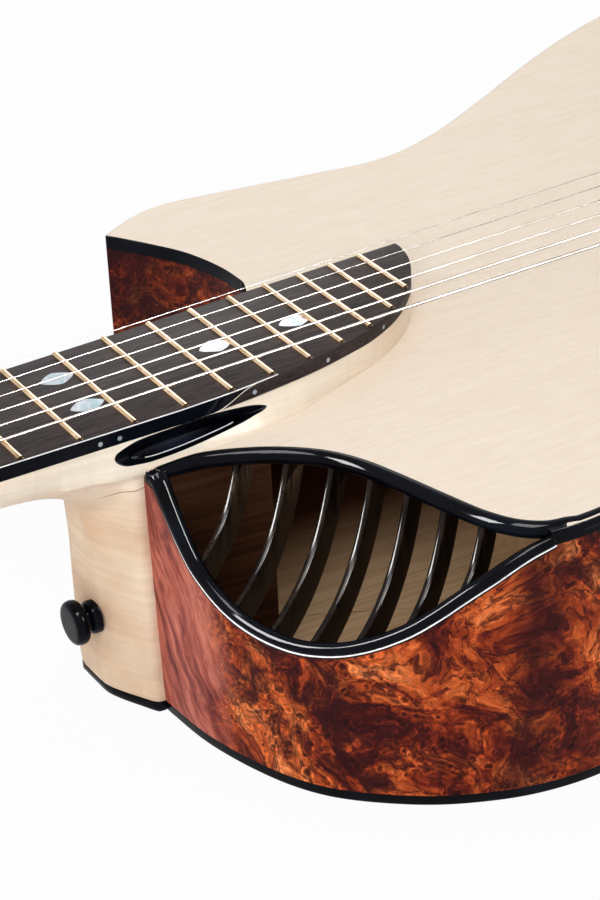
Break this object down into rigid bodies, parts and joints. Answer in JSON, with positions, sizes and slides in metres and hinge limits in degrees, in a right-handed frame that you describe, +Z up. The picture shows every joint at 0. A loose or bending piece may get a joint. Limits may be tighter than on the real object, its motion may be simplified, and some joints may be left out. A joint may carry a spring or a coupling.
{
  "type": "cutaway acoustic guitar",
  "caption": "Flat-top steel-string acoustic guitar with a deep cutaway, a ribbed sound port in the bass shoulder, a raised fretboard tongue and a leaf-shaped slot beside the neck.",
  "frame": {"origin": "middle of the part's box, on the level that its back rests on", "axes": "+X from the head to the tail, +Y towards the treble side, +Z up out of the top"},
  "size_m": [1.0134, 0.3958, 0.134],
  "materials": {
    "spruce_top": "gloss lacquer over fine straight grain",
    "burl_wood": "gloss lacquer over burl figure",
    "maple": "satin lacquer",
    "inner_wood": "bare",
    "ebony_board": "satin, fine pores, with metal frets",
    "ebony": "satin",
    "black_trim": "gloss",
    "bone": "polished",
    "steel": "polished",
    "bronze": "wound wire",
    "gold_metal": "polished"
  },
  "bodies": {
    "guitar_body": {"soundboard": "spruce_top", "back_plate": "burl_wood", "bass_side": "burl_wood", "treble_side": "burl_wood", "top_binding": "black_trim", "back_binding": "black_trim", "top_lining": "inner_wood", "back_lining": "inner_wood", "neck_block": "inner_wood", "tail_block": "inner_wood", "cross_brace": "inner_wood", "bridge_plate": "inner_wood", "back_brace_1": "inner_wood", "back_brace_2": "inner_wood", "upper_port_rim": "black_trim", "lower_port_rim": "black_trim", "slot_lining": "black_trim", "neck": "maple", "heel_cap": "black_trim", "fretboard": "ebony_board", "nut": "bone", "headplate": "ebony", "truss_rod": "steel", "truss_rod_cover": "ebony", "bridge": "ebony", "saddle": "bone", "strap_button": "black_trim", "end_pin": "black_trim", "port_rib_1": "ebony", "port_rib_2": "ebony", "port_rib_3": "ebony", "port_rib_4": "ebony", "port_rib_5": "ebony", "port_rib_6": "ebony", "port_rib_7": "ebony", "string_1": "steel", "string_2": "steel", "string_3": "bronze", "string_4": "bronze", "string_5": "bronze", "string_6": "bronze", "tuner_housing_1": "gold_metal", "tuner_housing_2": "gold_metal", "tuner_housing_3": "gold_metal", "tuner_housing_4": "gold_metal", "tuner_housing_5": "gold_metal", "tuner_housing_6": "gold_metal"},
    "knob_1": {"tuner_knob_1": "gold_metal"},
    "post_1": {"tuner_post_1": "steel"},
    "knob_2": {"tuner_knob_2": "gold_metal"},
    "post_2": {"tuner_post_2": "steel"},
    "knob_3": {"tuner_knob_3": "gold_metal"},
    "post_3": {"tuner_post_3": "steel"},
    "knob_4": {"tuner_knob_4": "gold_metal"},
    "post_4": {"tuner_post_4": "steel"},
    "knob_5": {"tuner_knob_5": "gold_metal"},
    "post_5": {"tuner_post_5": "steel"},
    "knob_6": {"tuner_knob_6": "gold_metal"},
    "post_6": {"tuner_post_6": "steel"},
    "rod_nut": {"truss_rod_nut": "steel"}
  },
  "joints": [
    {"name": "knob_1_turn", "type": "hinge", "parent": "guitar_body", "child": "knob_1", "pos_m": [-0.35976, 0.022, 0.05718], "axis": [0, 1, 0], "continuous": true},
    {"name": "post_1_turn", "type": "hinge", "parent": "guitar_body", "child": "post_1", "pos_m": [-0.37181, 0.022, 0.07367], "axis": [-0.2267, 0, 0.974], "continuous": true},
    {"name": "knob_2_turn", "type": "hinge", "parent": "guitar_body", "child": "knob_2", "pos_m": [-0.40067, 0.0205, 0.04765], "axis": [0, 1, 0], "continuous": true},
    {"name": "post_2_turn", "type": "hinge", "parent": "guitar_body", "child": "post_2", "pos_m": [-0.41272, 0.0205, 0.06415], "axis": [-0.2267, 0, 0.974], "continuous": true},
    {"name": "knob_3_turn", "type": "hinge", "parent": "guitar_body", "child": "knob_3", "pos_m": [-0.44157, 0.019, 0.03813], "axis": [0, 1, 0], "continuous": true},
    {"name": "post_3_turn", "type": "hinge", "parent": "guitar_body", "child": "post_3", "pos_m": [-0.45363, 0.019, 0.05463], "axis": [-0.2267, 0, 0.974], "continuous": true},
    {"name": "knob_4_turn", "type": "hinge", "parent": "guitar_body", "child": "knob_4", "pos_m": [-0.45716, -0.019, 0.03451], "axis": [0, -1, 0], "continuous": true},
    {"name": "post_4_turn", "type": "hinge", "parent": "guitar_body", "child": "post_4", "pos_m": [-0.45363, -0.019, 0.05463], "axis": [-0.2267, 0, 0.974], "continuous": true},
    {"name": "knob_5_turn", "type": "hinge", "parent": "guitar_body", "child": "knob_5", "pos_m": [-0.41625, -0.0205, 0.04403], "axis": [0, -1, 0], "continuous": true},
    {"name": "post_5_turn", "type": "hinge", "parent": "guitar_body", "child": "post_5", "pos_m": [-0.41272, -0.0205, 0.06415], "axis": [-0.2267, 0, 0.974], "continuous": true},
    {"name": "knob_6_turn", "type": "hinge", "parent": "guitar_body", "child": "knob_6", "pos_m": [-0.37534, -0.022, 0.05355], "axis": [0, -1, 0], "continuous": true},
    {"name": "post_6_turn", "type": "hinge", "parent": "guitar_body", "child": "post_6", "pos_m": [-0.37181, -0.022, 0.07367], "axis": [-0.2267, 0, 0.974], "continuous": true},
    {"name": "rod_nut_turn", "type": "hinge", "parent": "guitar_body", "child": "rod_nut", "pos_m": [-0.34433, 0, 0.07641], "axis": [0.9985, 0, 0.0541], "range_deg": [-360, 360]}
  ],
  "couplings": [
    {"joint": "post_1_turn", "follows": "knob_1_turn", "ratio": -0.0625},
    {"joint": "post_2_turn", "follows": "knob_2_turn", "ratio": -0.0625},
    {"joint": "post_3_turn", "follows": "knob_3_turn", "ratio": -0.0625},
    {"joint": "post_4_turn", "follows": "knob_4_turn", "ratio": -0.0625},
    {"joint": "post_5_turn", "follows": "knob_5_turn", "ratio": -0.0625},
    {"joint": "post_6_turn", "follows": "knob_6_turn", "ratio": -0.0625}
  ]
}
